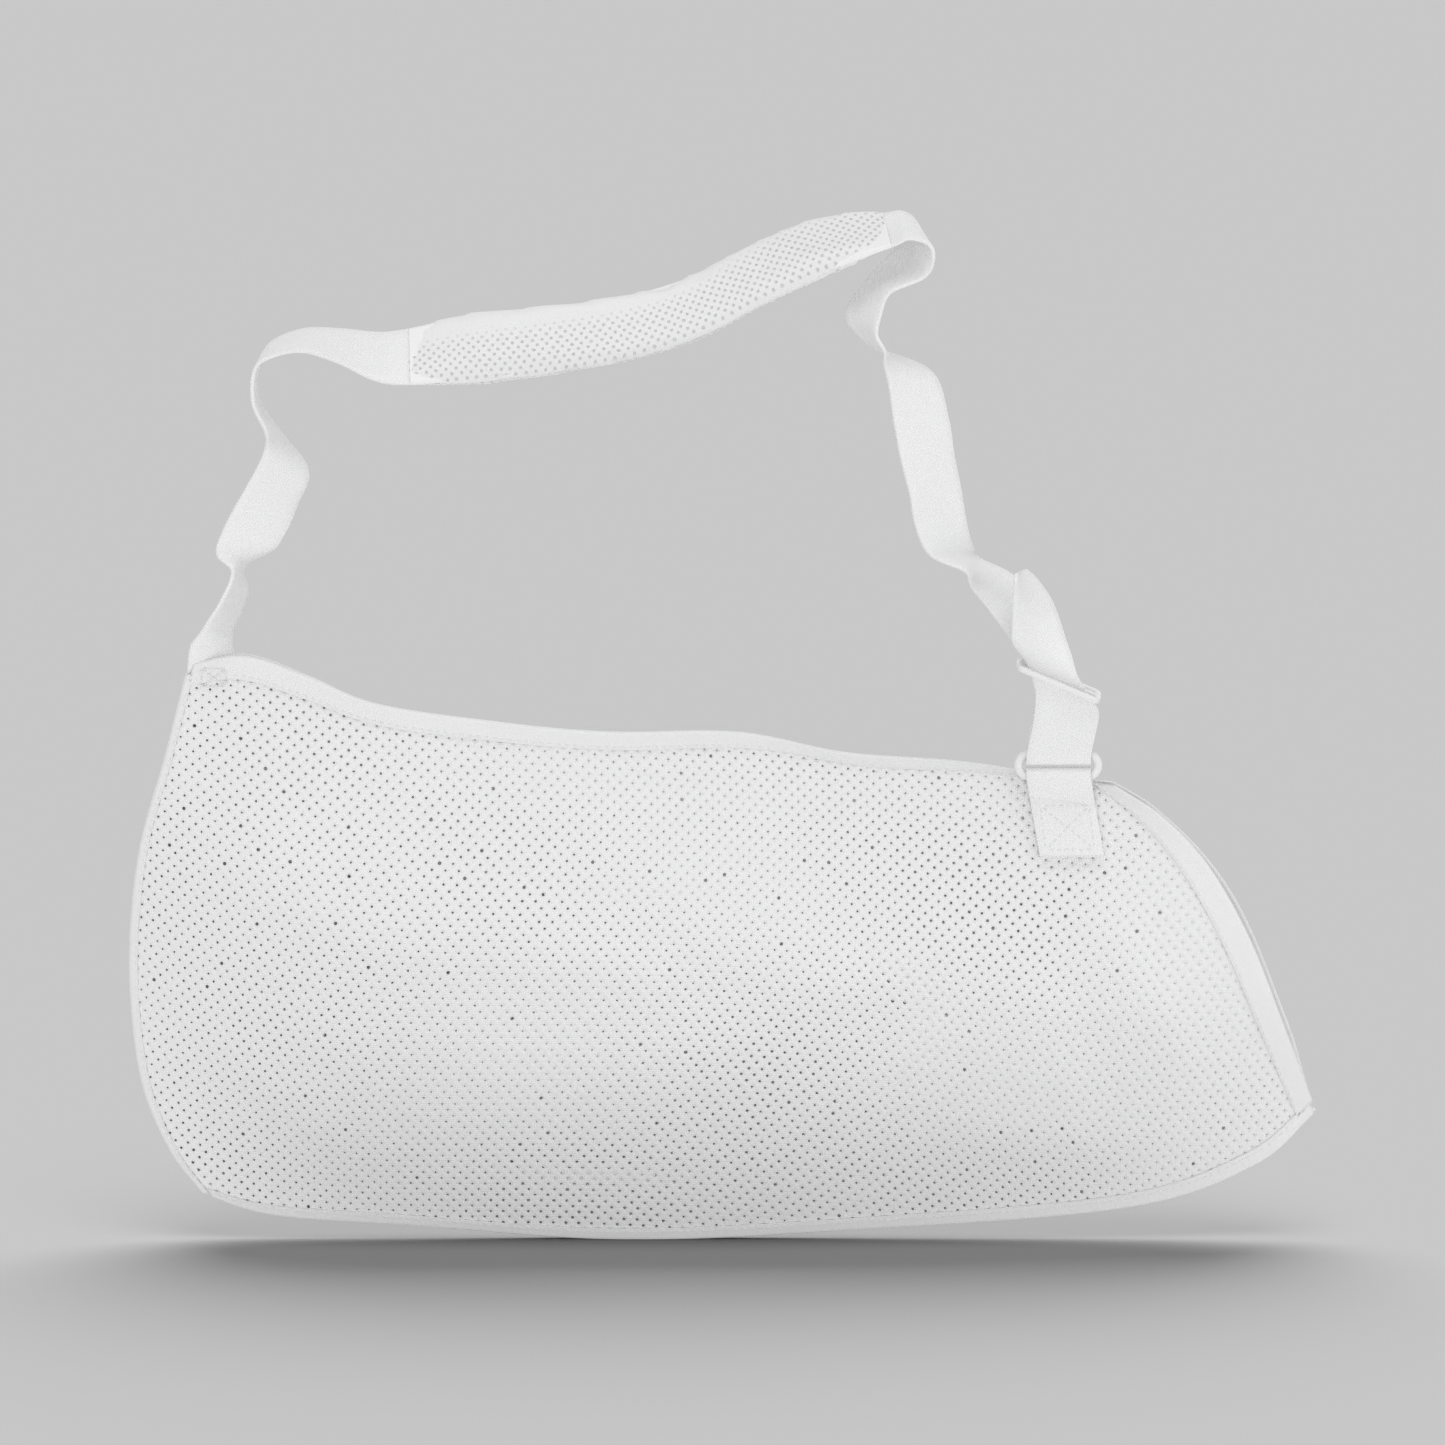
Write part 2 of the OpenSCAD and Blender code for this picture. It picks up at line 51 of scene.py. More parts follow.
# ---- camera ----
VIEW_WIDTH = 0.5737                             # metres across the picture at the sling
CAMERA_FAR = 3.2                                # metres from the sling
CAMERA_LIFT = 5.5                               # degrees above level
SENSOR = 36
LOOK_AT = Vector((0.0302, -0.008, -0.1429))
camera_data = bpy.data.cameras.new("camera")
camera = bpy.data.objects.new("camera", camera_data)
bpy.context.scene.collection.objects.link(camera)
lift = math.radians(CAMERA_LIFT)
camera.location = LOOK_AT + CAMERA_FAR * Vector((0, -math.cos(lift), math.sin(lift)))
camera.rotation_euler = (math.radians(90) - lift, 0, 0)
camera_data.sensor_width = SENSOR
camera_data.lens = SENSOR * CAMERA_FAR / VIEW_WIDTH
camera_data.clip_end = 900
bpy.context.scene.camera = camera

# ---- measurements, in millimetres, the same as the frame's ----
WEB_W = 25                                      # webbing
WEB_T = 1.5
FRONT_DEPTH = 38                                # how far each panel bulges
BACK_DEPTH = 27
KNIT_T = 1.6
TAPE_T = 0.75
BINDING_W = 6.5                                 # top binding, on each face
HEM_TOP_W = 8                                   # hand hem, at its top and its foot
HEM_LOW_W = 14
SEAM_W = 3.5                                    # bottom and elbow tapes, on each face
SEAM_GAP = 2.2                                  # between the panels at their seams
ELBOW_REACH = 110                               # how far in from each edge a panel reaches its full bulge
BOTTOM_REACH = 85
TOP_REACH = 95
TOP_SHARE = 0.08                                # share of the bulge left at the front's top edge
HAND_TAPER = 0.5                                # share of the bulge lost by the hand end
BACK_SAG = 5                                    # the back's top edge hangs lower
BACK_STEP = 2.5                                 # the back's hand end reaches further
TOP_SPAN = 170                                  # mean height and length of the outline patch
SIDE_SPAN = 420

ELBOW_LINE = np.array([(-177, -332), (-190, -314), (-201, -285), (-205, -241), (-201, -196),
                       (-190, -156), (-181, -121)], float)
BOTTOM_LINE = np.array([(-177, -332), (-150, -340), (-98, -344), (-10, -350), (85, -346),
                        (192, -337), (242, -320), (266, -299)], float)
TOP_LINE = np.array([(-181, -121), (-160, -118), (-135, -126), (-107, -137), (-60, -144), (-16, -148),
                     (37, -148), (80, -156), (130, -160), (186, -169)], float)
HAND_LINE = np.array([(266, -299), (252, -263), (238, -228), (222, -200), (204, -181), (186, -169)], float)

ELBOW_RUN = [
    (-173, 0, -113, -5, 38), (-170, 0, -106, -5, 62), (-164, 1, -94, 12, 68), (-162, 1, -82, 8, 82),
    (-158, 0, -72, 0, 18), (-149, 1, -54, -22, 35), (-143, 3, -40, -29, 42), (-148, 6, -29, -20, 78),
    (-155, 8, -17, 0, 88), (-155.5, 9, -5, 45, 90), (-150.5, 9, 3.5, 78, 78), (-137, 8, 8, 88, 73),
    (-122, 6, 6, 90, 62), (-108, 4, 2, 90, 46)]
PAD_RUN = [
    (-97, 3, 1.5, 92, 36), (-77, 3, 4, 95, 24), (-49, 5, 7, 97, 18), (-17, 7, 11.5, 99, 20),
    (4, 8, 16, 106, 26), (22, 9, 22.5, 112, 32), (38, 10, 30.5, 114, 37), (62, 11, 41.5, 111, 44),
    (82, 12, 48.3, 107, 53), (97, 12, 52, 104, 62)]
HAND_RUN = [
    (103, 12, 53.5, 106, 66), (109.5, 12, 50.5, 122, 66), (108.5, 12, 44, 142, 58), (103, 11, 37, 154, 50),
    (91.5, 8, 28.6, 169, 65), (86, 5, 18.6, 180, 58), (87.5, 3, 10.7, 183, 73), (93, 1, 4.5, 180, 84),
    (104.5, 0, -5, 178, 138), (109, 0, -23.5, 183, 149), (111.5, 0, -38, 183, 147), (114.5, 0, -51, 185, 144),
    (117, 0, -65, 180, 144), (121, 1, -75, 186, 134), (129.5, 2, -81, 205, 106), (138, 2, -88, 188, 136),
    (146, -1, -98, 172, 158), (152.5, -5.5, -109, 160, 176), (158.5, -6.5, -118, 158, 180),
    (163.5, -6.5, -126, 157, 180), (166.5, -6.5, -133, 165, 180)]
DROP_RUN = [(166.5, -6.5, -140, 175, 180), (165, -6.5, -148, 180, 180), (163.5, -6.5, -155.3, 180, 180)]
TAIL_RUN = [
    (163.5, -13.9, -126, 157, 180), (158.5, -13.9, -118, 158, 180), (155.5, -14.5, -109, 170, 152),
    (154, -15.5, -101, 178, 138), (152.5, -16.5, -94, 180, 128), (150.5, -17.5, -87.5, 182, 114),
    (148, -18, -82, 185, 102)]
MAIN_RUN = np.array(ELBOW_RUN + PAD_RUN + HAND_RUN + DROP_RUN, float)
PAD_FIRST = len(ELBOW_RUN)
PAD_LAST = PAD_FIRST + len(PAD_RUN) - 1
DROP_FIRST = len(MAIN_RUN) - len(DROP_RUN) - 1
MAIN_LAST = len(MAIN_RUN) - 1
RING_Y = -10.2
RING_BAR = np.array([163.5, RING_Y, -155.3])
RING_WIRE = 3.4
RING_H = 12.2
RING_LOWER_Z = -155.3 - RING_H + RING_WIRE
LEG_R = 3.7                                     # from the ring's upper bar to each leg of webbing
TAB_R = RING_WIRE / 2 + 0.5 + 0.8               # from the ring's lower bar to the middle of the tab
PAD_W = 33
PAD_T = 10


# ---- curves and the pouch's surface ----
def along(points, t):
    """Points of a smooth curve through points, t from 0 at the first to 1 at the last."""
    p = np.asarray(points, float)
    t = np.asarray(t, float)
    n = len(p) - 1
    s = t * n
    i = np.clip(np.floor(s).astype(int), 0, n - 1)
    f = (s - i)[..., None]
    padded = np.vstack([2 * p[0] - p[1], p, 2 * p[-1] - p[-2]])
    a, b, c, d = padded[i], padded[i + 1], padded[i + 2], padded[i + 3]
    return b + f * ((c - a) / 2 + f * ((2 * a - 5 * b + 4 * c - d) / 2 + f * (3 * b - a - 3 * c + d) / 2))


def ease(t):
    """0 up to t = 0, 1 from t = 1, and smooth between them."""
    s = np.clip(t, 0, 1)
    return s * s * (3 - 2 * s)


TABLE_T = np.linspace(0, 1, 61)
ELBOW_TABLE = along(ELBOW_LINE, TABLE_T)
BOTTOM_TABLE = along(BOTTOM_LINE, TABLE_T)
TOP_TABLE = along(TOP_LINE, TABLE_T)
HAND_TABLE = along(HAND_LINE, TABLE_T)[::-1]


def elbow_x(z):
    return np.interp(z, ELBOW_TABLE[:, 1], ELBOW_TABLE[:, 0])


def bottom_z(x):
    return np.interp(x, BOTTOM_TABLE[:, 0], BOTTOM_TABLE[:, 1])


def top_z(x):
    return np.interp(x, TOP_TABLE[:, 0], TOP_TABLE[:, 1])


def hand_z(x):
    return np.interp(x, HAND_TABLE[:, 0], HAND_TABLE[:, 1])


def swell(distance, reach):
    """Share of the full bulge at a distance in from an edge."""
    return np.sin(math.pi / 2 * np.clip(distance / reach, 0, 1))


def fold(x, z, start, end, width, height):
    """Height of a soft ridge that runs from start to end, both [x, z]."""
    a, b = np.array(start, float), np.array(end, float)
    length = np.linalg.norm(b - a)
    d = (b - a) / length
    s = ((x - a[0]) * d[0] + (z - a[1]) * d[1]) / length
    off = -(x - a[0]) * d[1] + (z - a[1]) * d[0]
    return height * ease(s / 0.3) * ease((1 - s) / 0.4) * np.exp(-(off / width) ** 2)


# Soft drape folds: start [x, z], end [x, z], half width, height.
FRONT_FOLDS = [
    ((-172, -140), (-10, -235), 16, 2.2), ((-130, -150), (60, -262), 13, -1.8),
    ((-95, -158), (-80, -290), 15, 1.6), ((150, -205), (-30, -300), 18, 1.8),
    ((168, -196), (228, -300), 12, 1.8), ((150, -200), (190, -310), 12, -1.6),
    ((60, -160), (150, -250), 14, 1.5), ((-195, -260), (-90, -325), 12, 1.6),
    ((-60, -165), (30, -215), 11, 1.3), ((100, -300), (230, -320), 12, 1.2)]
BACK_FOLDS = [
    ((-165, -145), (20, -240), 16, 2.0), ((160, -190), (-20, -300), 18, 1.8),
    ((-120, -160), (-60, -300), 14, -1.5), ((170, -200), (220, -300), 12, 1.6)]


def stand(side, x, z):
    """How far a panel stands off the seam plane at x, z."""
    rise = swell(x - elbow_x(z), ELBOW_REACH) * swell(z - bottom_z(x), BOTTOM_REACH)
    full = rise * (1 - HAND_TAPER * ease((x - 40) / 226))
    flat = TOP_SHARE + (1 - TOP_SHARE) * ease((top_z(x) - z) / TOP_REACH)
    soft = sum(fold(x, z, *f) for f in (FRONT_FOLDS if side < 0 else BACK_FOLDS))
    inner = ease((x - elbow_x(z)) / 40) * ease((z - bottom_z(x)) / 30) * ease((top_z(x) - z - 4) / 30)
    return (FRONT_DEPTH * full * flat if side < 0 else BACK_DEPTH * full) + soft * inner


def spot(u, v):
    """[x, z] of the pouch's outline patch, u from the elbow to the hand end and v from the bottom up."""
    u, v = np.broadcast_arrays(np.asarray(u, float), np.asarray(v, float))
    U, V = u[..., None], v[..., None]
    return ((1 - V) * along(BOTTOM_LINE, u) + V * along(TOP_LINE, u)
            + (1 - U) * along(ELBOW_LINE, v) + U * along(HAND_LINE, v)
            - (1 - U) * (1 - V) * BOTTOM_LINE[0] - U * (1 - V) * HAND_LINE[0]
            - (1 - U) * V * TOP_LINE[0] - U * V * TOP_LINE[-1])


def drape(side, x, z):
    """The back panel sags a little at its top and steps out a little at its hand end."""
    if side < 0:
        return x, z
    high = ease((z + 260) / 110)
    sag = BACK_SAG * high * ease((x + 175) / 90) * ease((200 - x) / 60)
    out = BACK_STEP * ease((x - 150) / 90) * ease((z + 297) / 30) * ease((-180 - z) / 40)
    return x + out, z - sag


def on_panel(side, u, v, off):
    """Points of a panel's patch, off from its inner face."""
    p = spot(u, v)
    x, z = p[..., 0], p[..., 1]
    y = side * (SEAM_GAP / 2 + stand(side, x, z) + off)
    dx, dz = drape(side, x, z)
    return np.stack([dx, y, dz], -1)


# ---- mesh builders ----
def add_object(name, verts, faces, material, uvs=None, smooth=True, body=None):
    mesh = bpy.data.meshes.new(name)
    mesh.from_pydata([tuple(v) for v in np.asarray(verts) * MM], [], faces)
    if uvs is not None:
        layer = mesh.uv_layers.new(name="UVMap")
        index = np.empty(len(mesh.loops), int)
        mesh.loops.foreach_get("vertex_index", index)
        layer.data.foreach_set("uv", (np.asarray(uvs) * MM)[index].ravel())
    # End caps, the only faces with more than four corners, stay flat.
    mesh.polygons.foreach_set("use_smooth", [smooth and len(f) <= 4 for f in faces])
    mesh.update()
    obj = bpy.data.objects.new(name, mesh)
    bpy.context.scene.collection.objects.link(obj)
    mesh.materials.append(material)
    if body:
        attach(obj, body)
    return obj


def unit(v):
    return v / np.maximum(np.linalg.norm(v, axis=-1, keepdims=True), 1e-9)


def lengths(points):
    """Running length along the first axis of a row of points."""
    steps = np.linalg.norm(np.diff(points, axis=0), axis=-1)
    return np.concatenate([[0], np.cumsum(steps)])


def lofted(rows, closed=True, caps=True, start_index=0):
    """Faces of a tube through rows of points, rows[i][j]."""
    n, m = rows.shape[:2]
    faces = []
    spans = m if closed else m - 1
    for i in range(n - 1):
        for j in range(spans):
            k = (j + 1) % m
            faces.append((i * m + j, i * m + k, (i + 1) * m + k, (i + 1) * m + j))
    if caps:
        faces.append(tuple(range(m - 1, -1, -1)))
        faces.append(tuple((n - 1) * m + j for j in range(m)))
    return [tuple(start_index + i for i in f) for f in faces]


def thick_sheet(grid, thickness):
    """Rows of closed sections round a strip with middle surface grid[i][j] and rounded long edges."""
    di = np.gradient(grid, axis=0)
    dj = np.gradient(grid, axis=1)
    normal = unit(np.cross(di, dj))
    h = thickness / 2
    low_edge = unit(grid[:, :1] - grid[:, 1:2])
    high_edge = unit(grid[:, -1:] - grid[:, -2:-1])
    return np.concatenate([
        grid + normal * h,
        grid[:, -1:] + (high_edge * 0.45 + normal[:, -1:] * 0.7) * h,
        grid[:, -1:] + (high_edge * 0.45 - normal[:, -1:] * 0.7) * h,
        (grid - normal * h)[:, ::-1],
        grid[:, :1] + (low_edge * 0.45 - normal[:, :1] * 0.7) * h,
        grid[:, :1] + (low_edge * 0.45 + normal[:, :1] * 0.7) * h], axis=1)


def strip(name, grid, thickness, material, body):
    """A closed strip of cloth whose middle surface is grid; UVs are across and along, in metres."""
    rows = thick_sheet(grid, thickness)
    n = len(rows)
    mid = grid[:, grid.shape[1] // 2]
    run = lengths(mid)
    across = np.mean([lengths(grid[i]) for i in range(0, n, max(1, n // 8))], axis=0)
    band = np.concatenate([across, [across[-1] + 0.4, across[-1] + 0.6], across[::-1], [-0.6, -0.4]])
    uvs = np.stack(np.broadcast_arrays(band[None, :], run[:, None]), -1).reshape(-1, 2)
    return add_object(name, rows.reshape(-1, 3), lofted(rows), material, uvs, body=body)


# ---- materials ----
class Shader:
    """A procedural cloth or plastic, built from a height pattern."""

    def __init__(self, name, colour, roughness, sheen=0.0, specular=0.3):
        self.material = bpy.data.materials.new(name)
        self.material.use_nodes = True
        self.tree = self.material.node_tree
        self.shader = self.tree.nodes["Principled BSDF"]
        self.shader.inputs["Base Color"].default_value = (*colour, 1)
        self.shader.inputs["Roughness"].default_value = roughness
        self.shader.inputs["Specular IOR Level"].default_value = specular
        self.shader.inputs["Sheen Weight"].default_value = sheen
        self.shader.inputs["Sheen Roughness"].default_value = 0.5
        self.coords = self.tree.nodes.new("ShaderNodeTexCoord")
        self.colour = colour

    def axes(self, kind):
        split = self.tree.nodes.new("ShaderNodeSeparateXYZ")
        self.tree.links.new(self.coords.outputs[kind], split.inputs[0])
        return split.outputs

    def math(self, operation, a, b=None):
        node = self.tree.nodes.new("ShaderNodeMath")
        node.operation = operation
        for k, value in enumerate((a, b)):
            if value is None:
                continue
            if isinstance(value, (int, float)):
                node.inputs[k].default_value = value
            else:
                self.tree.links.new(value, node.inputs[k])
        return node.outputs[0]

    def ripple(self, axis, pitch):
        """Sine of a coordinate in metres, one turn every pitch metres."""
        return self.math("SINE", self.math("MULTIPLY", axis, 2 * math.pi / pitch))

    def noise(self, scale, detail=3.0):
        node = self.tree.nodes.new("ShaderNodeTexNoise")
        node.inputs["Scale"].default_value = scale
        node.inputs["Detail"].default_value = detail
        self.tree.links.new(self.coords.outputs["Object"], node.inputs["Vector"])
        return node.outputs[0]

    def bump(self, height, distance, strength=1.0):
        node = self.tree.nodes.new("ShaderNodeBump")
        node.inputs["Distance"].default_value = distance
        node.inputs["Strength"].default_value = strength
        self.tree.links.new(height, node.inputs["Height"])
        self.tree.links.new(node.outputs[0], self.shader.inputs["Normal"])

    def shade(self, factor, dark):
        """Mixes the colour from its own tone to dark times it, by factor."""
        node = self.tree.nodes.new("ShaderNodeMix")
        node.data_type = "RGBA"
        node.inputs["A"].default_value = (*self.colour, 1)
        node.inputs["B"].default_value = (*[c * dark for c in self.colour], 1)
        self.tree.links.new(factor, node.inputs["Factor"])
        self.tree.links.new(node.outputs["Result"], self.shader.inputs["Base Color"])


def knit_shader():
    """Soft knit between the holes: fine wales with a little fuzz."""
    s = Shader("mesh_knit", (0.91, 0.91, 0.915), 0.9, sheen=0.25)
    x, _, z = s.axes("Object")[:3]
    rise = s.math("ADD", x, z)
    fall = s.math("SUBTRACT", x, z)
    loops = s.math("MULTIPLY", s.ripple(rise, 0.0017), s.ripple(fall, 0.0017))
    fuzz = s.noise(1400, 2)
    s.bump(s.math("ADD", s.math("MULTIPLY", loops, 0.5), fuzz), 0.00025, 0.55)
    s.shade(s.math("MULTIPLY", s.noise(14, 3), 0.6), 0.93)
    return s.material


def woven_shader(name, colour, warp, weft, depth, sheen=0.2):
    """Plain weave from UVs in metres: warp pitch across, weft pitch along."""
    s = Shader(name, colour, 0.82, sheen=sheen)
    u, v = s.axes("UV")[:2]
    ribs = s.math("MULTIPLY", s.ripple(u, warp), s.ripple(v, weft))
    fuzz = s.noise(1600, 2)
    s.bump(s.math("ADD", ribs, s.math("MULTIPLY", fuzz, 0.7)), depth, 0.6)
    worn = s.math("MULTIPLY", s.noise(30, 4), 0.7)
    s.shade(worn, 0.93)
    return s.material


# The pad's dimple pitch, and the share and tone of the painted shade that darkens each dimple.
DOT_PITCH = 0.0039
DOT_SHADE_SHARE = 0.8
DOT_SHADE_TONE = 0.87


def pad_shader():
    """Fine mesh knit for the pad: small dimples in staggered rows, each darkened with painted shade, fading
    out towards its upper edge.
    """
    s = Shader("pad_knit", (0.86, 0.86, 0.865), 0.88, sheen=0.25)
    u, v = s.axes("UV")[:2]
    along_dots = s.ripple(v, DOT_PITCH)
    across_dots = s.ripple(u, DOT_PITCH)
    both = s.math("MULTIPLY", along_dots, across_dots)
    dots = s.math("GREATER_THAN", both, 0.72)
    soft = s.math("POWER", s.math("MAXIMUM", both, 0.0), 3.0)
    fade = s.tree.nodes.new("ShaderNodeAttribute")
    fade.attribute_name = "mesh_share"
    amount = fade.outputs["Fac"]
    dimples = s.math("MULTIPLY", soft, amount)
    s.bump(s.math("SUBTRACT", s.math("MULTIPLY", s.noise(1500, 2), 0.35), dimples), 0.0007, 0.9)
    # Painted shade: the colour darkens inside each dimple, standing in for the shade in the knit's holes.
    s.shade(s.math("MULTIPLY", s.math("MULTIPLY", dots, amount), DOT_SHADE_SHARE), DOT_SHADE_TONE)
    return s.material


def plastic_shader():
    s = Shader("white_plastic", (0.87, 0.87, 0.875), 0.38, specular=0.5)
    s.bump(s.noise(260, 4), 0.00008, 0.4)
    s.shade(s.math("MULTIPLY", s.noise(40, 3), 0.5), 0.95)
    return s.material


KNIT = knit_shader()
TAPE = woven_shader("tape", (0.93, 0.93, 0.935), 0.0009, 0.0007, 0.00012)
WEBBING = woven_shader("webbing", (0.97, 0.97, 0.975), 0.0016, 0.0011, 0.00022)
THREAD = woven_shader("thread", (0.95, 0.95, 0.955), 0.0006, 0.0005, 0.0001)
PAD_KNIT = pad_shader()
PLASTIC = plastic_shader()

# ---- the two mesh panels, with a real hole in every cell of the knit ----
PITCH = 5.1                                     # across one cell of the knit
CELL_SINK = 1.0                                 # depth of a hole's wall
KNIT_TURN = math.radians(-5)
RIM_SINK = 0.1
WALL_DRAFT = 0.85                               # a hole's floor edge, as a share of its rim
SIZE_SPREAD = 0.3
OPEN_SHARE = 0.012                              # share of the holes that are pulled wide open
OPEN_RADIUS = 0.8
CORNER_X = 186                                  # where the top edge meets the hand end


def warp(x, z):
    """The knit's rows wander a little, as they do on a hanging cloth."""
    c, s = math.cos(KNIT_TURN), math.sin(KNIT_TURN)
    x, z = c * x - s * (z + 240), s * x + c * (z + 240) - 240
    return (x + 3.2 * np.sin(z / 38 + 0.6) + 2.6 * np.sin((x + z) / 47),
            z + 3.0 * np.sin(x / 52 + 1.1) + 2.2 * np.sin((x - z) / 61 + 2.0))


def hole_size(x, z):
    """Radius of the knit's holes, which open and close in soft patches."""
    patch = (np.sin(x / 31 + 0.7) * np.sin(z / 23 + 1.9) + 0.7 * np.sin((x + 1.3 * z) / 27)
             + 0.6 * np.sin((x - 0.8 * z) / 41 + 1.2))
    low = ease((-295 - z) / 30) * ease((230 - x) / 60)
    calm = ease((x - 150) / 80) * ease((-205 - z) / 40 + 0.6)
    return (0.46 + 0.09 * patch + 0.12 * low) * (1 - 0.4 * calm)


def panel_mesh(name, side):
    """One panel: a lattice of square cells on the slant, each with a round walled hole."""
    half = PITCH / 2
    jj, ii = np.meshgrid(np.arange(-160, -20), np.arange(-60, 75), indexing="ij")
    cx, cz = warp((ii + (jj % 2) / 2) * PITCH, jj * half)
    edge = 1.2
    ceiling = np.where(cx < CORNER_X, top_z(cx), hand_z(cx))
    inside = ((cx > elbow_x(cz) - edge) & (cz > bottom_z(cx) - edge) & (cz < ceiling + edge - 1.5)
              & (cz > -352) & (cx > -207) & (cx < 267))
    cells = list(zip(jj[inside].tolist(), ii[inside].tolist(), cx[inside].tolist(), cz[inside].tolist()))
    index, points, sinks = {}, [], []

    def vertex(key, x, z, sink):
        if key not in index:
            index[key] = len(points)
            points.append((x, z))
            sinks.append(sink)
        return index[key]

    faces = []
    ring = [(math.cos(math.radians(a)), math.sin(math.radians(a))) for a in range(0, 360, 45)]
    rand = random.Random(3 if side < 0 else 4)
    for j, i, wx, wz in cells:
        x = (i + (j % 2) / 2) * PITCH
        z = j * half
        a = round(2 * x / PITCH)
        corner = [vertex(("c", a + 1, j), x + half, z, 0), vertex(("c", a, j + 1), x, z + half, 0),
                  vertex(("c", a - 1, j), x - half, z, 0), vertex(("c", a, j - 1), x, z - half, 0)]
        wide = float(hole_size(wx, wz)) * (1 + SIZE_SPREAD * (rand.random() - 0.5))
        if rand.random() < OPEN_SHARE:
            wide = OPEN_RADIUS
        rim = [vertex(("r", a, j, k), x + wide * c, z + wide * s, RIM_SINK) for k, (c, s) in enumerate(ring)]
        floor = WALL_DRAFT * wide
        deep = [vertex(("d", a, j, k), x + floor * c, z + floor * s, CELL_SINK)
                for k, (c, s) in enumerate(ring)]
        for q in range(4):
            c0, c1 = corner[q], corner[(q + 1) % 4]
            r0, r1, r2 = rim[2 * q], rim[2 * q + 1], rim[(2 * q + 2) % 8]
            faces += [(c0, c1, r1), (c0, r1, r0), (c1, r2, r1)]
        for k in range(8):
            faces.append((rim[k], rim[(k + 1) % 8], deep[(k + 1) % 8], deep[k]))
    p = np.array(points)
    x, z = warp(p[:, 0], p[:, 1])
    z = np.minimum(z, np.where(x < CORNER_X, top_z(x), hand_z(x)) - 0.2)
    z = np.maximum(z, bottom_z(x) + 0.2)
    x = np.maximum(x, elbow_x(z) + 0.2)
    y = side * (SEAM_GAP / 2 + stand(side, x, z) + KNIT_T - np.array(sinks))
    dx, dz = drape(side, x, z)
    verts = np.stack([dx, y, dz], -1)
    if side > 0:
        faces = [f[::-1] for f in faces]
    obj = add_object(name, verts, faces, KNIT, body="pouch")
    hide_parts(name)
    return obj


front = panel_mesh("front_panel", -1)
front.name = "front_mesh"
back = panel_mesh("back_panel", 1)
back.name = "back_mesh"


# ---- bindings, hems and seam tapes ----
def folded_edge(ts, place, edge_dir, width, steps_in=4, steps_round=6):
    """Middle surface of a tape folded over a panel's edge. place(t, s, off) is s mm in from the edge."""
    lift_off = 0.1 + TAPE_T / 2
    rows = []
    outer = [place(ts, width * (1 - k / steps_in), KNIT_T + lift_off) for k in range(steps_in)]
    radius = KNIT_T / 2 + lift_off
    centre = place(ts, 0.0, KNIT_T / 2)
    up = unit(place(ts, 0.0, KNIT_T + lift_off) - place(ts, 0.0, -lift_off))
    away = edge_dir(ts)
    for k in range(steps_round + 1):
        a = math.pi * k / steps_round
        rows.append(centre + up * radius * math.cos(a) + away * radius * math.sin(a) * 0.8)
    inner = [place(ts, width * (k + 1) / steps_in, -lift_off) for k in range(steps_in)]
    return np.stack(outer + rows + inner, axis=1)


def top_place(side):
    def place(u, s, off):
        return on_panel(side, u, 1 - s / TOP_SPAN, off)
    return place


def hand_place(side):
    def place(v, s, off):
        return on_panel(side, 1 - s / SIDE_SPAN, v, off)
    return place


def outward(place):
    def direction(t):
        return unit(place(t, 0.0, 0.8) - place(t, 1.0, 0.8))
    return direction


def hem_width(v):
    return HEM_LOW_W + (HEM_TOP_W - HEM_LOW_W) * v


BINDING_END = 1 - (HEM_TOP_W - 1.5) / SIDE_SPAN
for side, tag, start in ((-1, "front", 0.004), (1, "back", 0.004)):
    place = top_place(side)
    ts = np.linspace(start, BINDING_END, 150)
    grid = folded_edge(ts, place, outward(place), BINDING_W)
    strip(tag + "_binding", grid, TAPE_T, TAPE, "pouch")
    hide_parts(tag + "_top_binding")
    place = hand_place(side)
    ts = np.linspace(0.015, 1.004, 100)
    grid = folded_edge(ts, place, outward(place), hem_width(ts))
    strip(tag + "_hem", grid, TAPE_T, TAPE, "pouch")
    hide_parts(tag + "_hand_hem")


def joined_edge(ts, place, width, steps_in=4, steps_round=8):
    """Middle surface of a tape folded round both panels' edges."""
    lift_off = 0.1 + TAPE_T / 2
    outer = [place(-1, ts, width * (1 - k / steps_in), KNIT_T + lift_off) for k in range(steps_in)]
    inner = [place(1, ts, width * (k + 1) / steps_in, KNIT_T + lift_off) for k in range(steps_in)]
    low, high = place(-1, ts, 0.0, KNIT_T + lift_off), place(1, ts, 0.0, KNIT_T + lift_off)
    centre = (low + high) / 2
    reach = (low - high) / 2
    away = unit(place(-1, ts, 0.0, 0.8) - place(-1, ts, 2.0, 0.8))
    away[:, 1] = 0
    away = unit(away)
    rows = []
    for k in range(steps_round + 1):
        a = math.pi * k / steps_round
        rows.append(centre + reach * math.cos(a) + away * 1.4 * math.sin(a))
    return np.stack(outer + rows + inner, axis=1)


def bottom_place(side, u, s, off):
    return on_panel(side, u, s / TOP_SPAN, off)


def elbow_place(side, v, s, off):
    return on_panel(side, s / SIDE_SPAN, v, off)


bottom = strip("bottom_tape", joined_edge(np.linspace(0.016, 1.0, 160), bottom_place, SEAM_W), TAPE_T, TAPE,
               "pouch")
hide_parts("bottom_seam_tape")
elbow = strip("elbow_tape", joined_edge(np.linspace(-0.004, 0.985, 90), elbow_place, SEAM_W), TAPE_T, TAPE,
              "pouch")
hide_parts("elbow_seam_tape")


